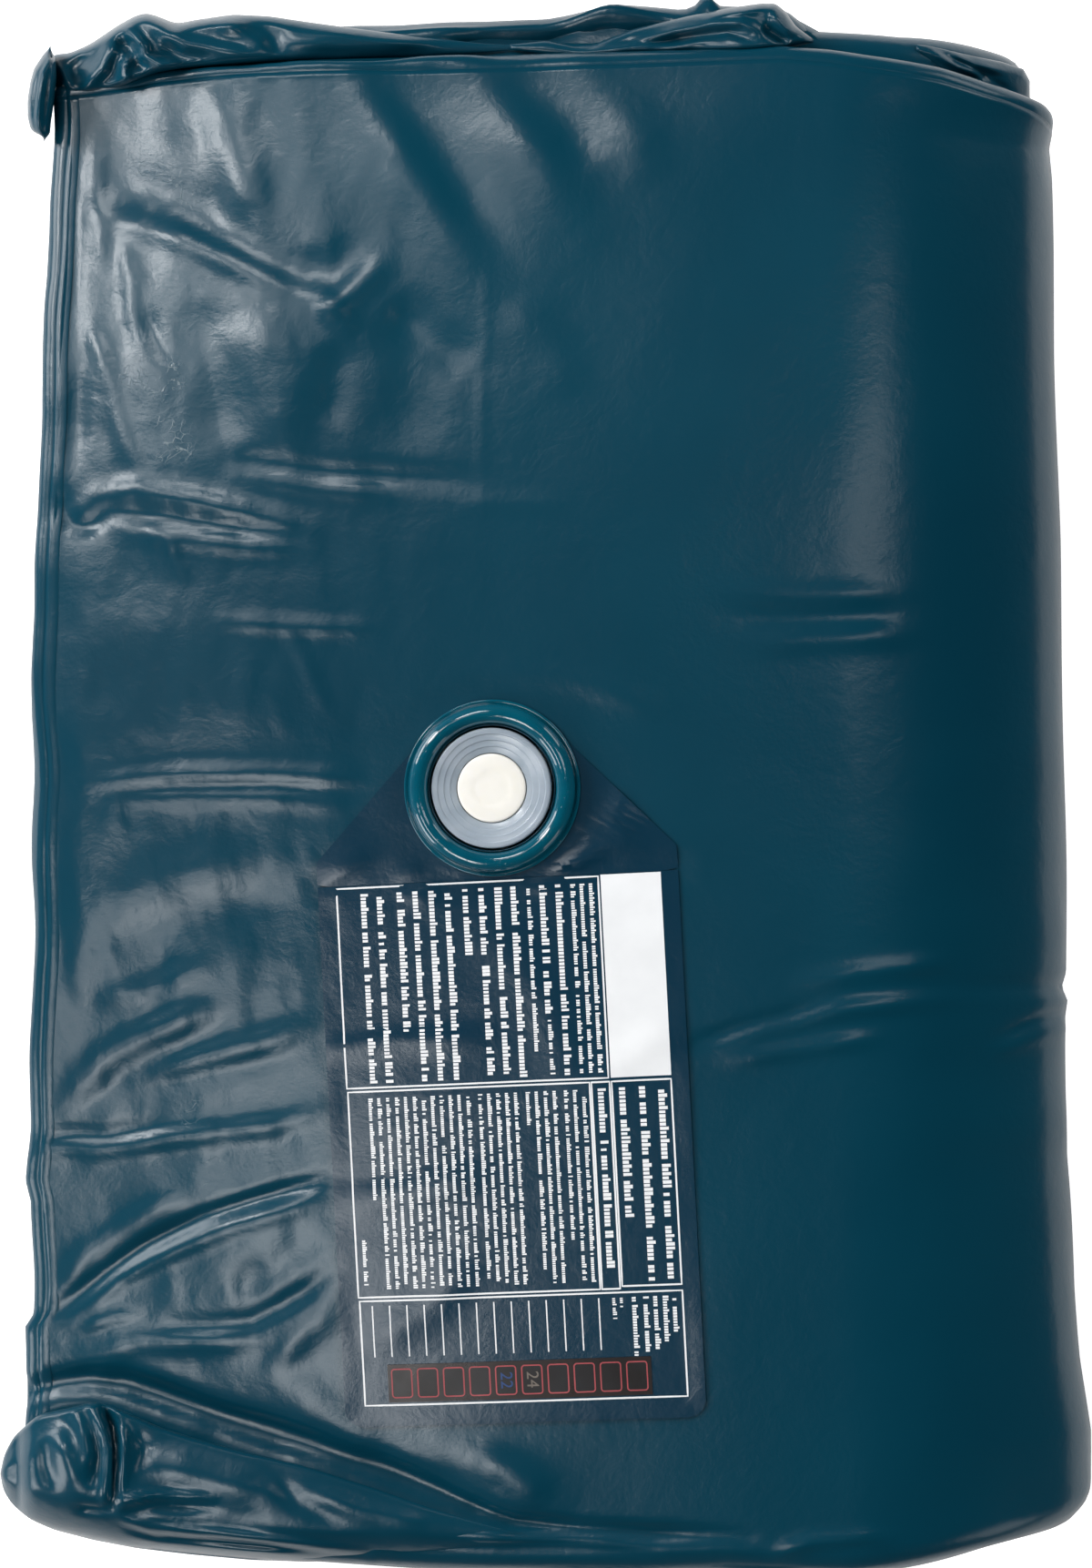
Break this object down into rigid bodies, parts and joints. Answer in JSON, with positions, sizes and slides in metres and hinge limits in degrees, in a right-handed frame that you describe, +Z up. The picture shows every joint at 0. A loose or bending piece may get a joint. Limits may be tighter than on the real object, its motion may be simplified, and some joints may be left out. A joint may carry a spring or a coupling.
{
  "type": "waterbed core",
  "caption": "Drained vinyl water core of a waterbed, folded flat, with a pull-up fill valve, screw ring, stopper and a hanging tag with a thermometer strip.",
  "frame": {"origin": "centre of the folded bundle's footprint, on the floor", "axes": "+Z up, +Y towards the head loop, +X towards the round half fold"},
  "size_m": [0.458, 0.672, 0.1171],
  "materials": {
    "vinyl": "satin",
    "collar_vinyl": "gloss",
    "tag_vinyl": "satin",
    "clear_plastic": "satin",
    "white_plastic": "gloss",
    "seal_rubber": "matte",
    "fleece": "matte",
    "print_white": "matte",
    "strip_black": "gloss",
    "window_film": "gloss",
    "frame_print": "matte"
  },
  "bodies": {
    "bladder": {"deck_sheet": "vinyl", "base_sheet": "vinyl", "lower_side_band": "vinyl", "upper_side_band": "vinyl", "head_end_band": "vinyl", "foot_end_band": "vinyl", "corner_patches": "vinyl", "side_seam": "vinyl", "foot_corner_roll": "vinyl", "head_corner_roll": "vinyl", "fleece_ply_1": "fleece", "fleece_ply_2": "fleece", "fleece_ply_3": "fleece", "fleece_ties": "fleece", "valve_flange": "vinyl", "valve_boot": "collar_vinyl", "valve_collar": "collar_vinyl", "tag_head": "tag_vinyl"},
    "spout": {"valve_neck": "clear_plastic"},
    "cap_carrier": {"ring_washer": "seal_rubber"},
    "cap": {"screw_ring": "clear_plastic"},
    "plug": {"stopper": "white_plastic", "stopper_seal": "seal_rubber"},
    "tag": {"tag_leaf": "tag_vinyl", "title_panel": "print_white", "thermometer_strip": "strip_black", "thermometer_windows": "window_film", "thermometer_frames": "frame_print"}
  },
  "joints": [
    {"name": "spout_pull", "type": "slide", "parent": "bladder", "child": "spout", "axis": [-0.068, 0, 0.9977], "range_m": [0, 0.022], "deforming": ["valve_boot"]},
    {"name": "cap_rise", "type": "slide", "parent": "spout", "child": "cap_carrier", "axis": [-0.068, 0, 0.9977], "range_m": [0, 0.006]},
    {"name": "cap_turn", "type": "hinge", "parent": "cap_carrier", "child": "cap", "pos_m": [-0.0227, -0.0017, 0.10526], "axis": [-0.068, 0, 0.9977], "range_deg": [0, 720]},
    {"name": "stopper_pull", "type": "slide", "parent": "spout", "child": "plug", "axis": [-0.068, 0, 0.9977], "range_m": [0, 0.015]},
    {"name": "tag_lift", "type": "hinge", "parent": "bladder", "child": "tag", "pos_m": [-0.02073, -0.03995, 0.10589], "axis": [-0.9963, -0.0523, -0.0679], "range_deg": [0, 100]}
  ],
  "couplings": [
    {"joint": "cap_rise", "follows": "cap_turn", "m_per_rad": 0.000477}
  ]
}
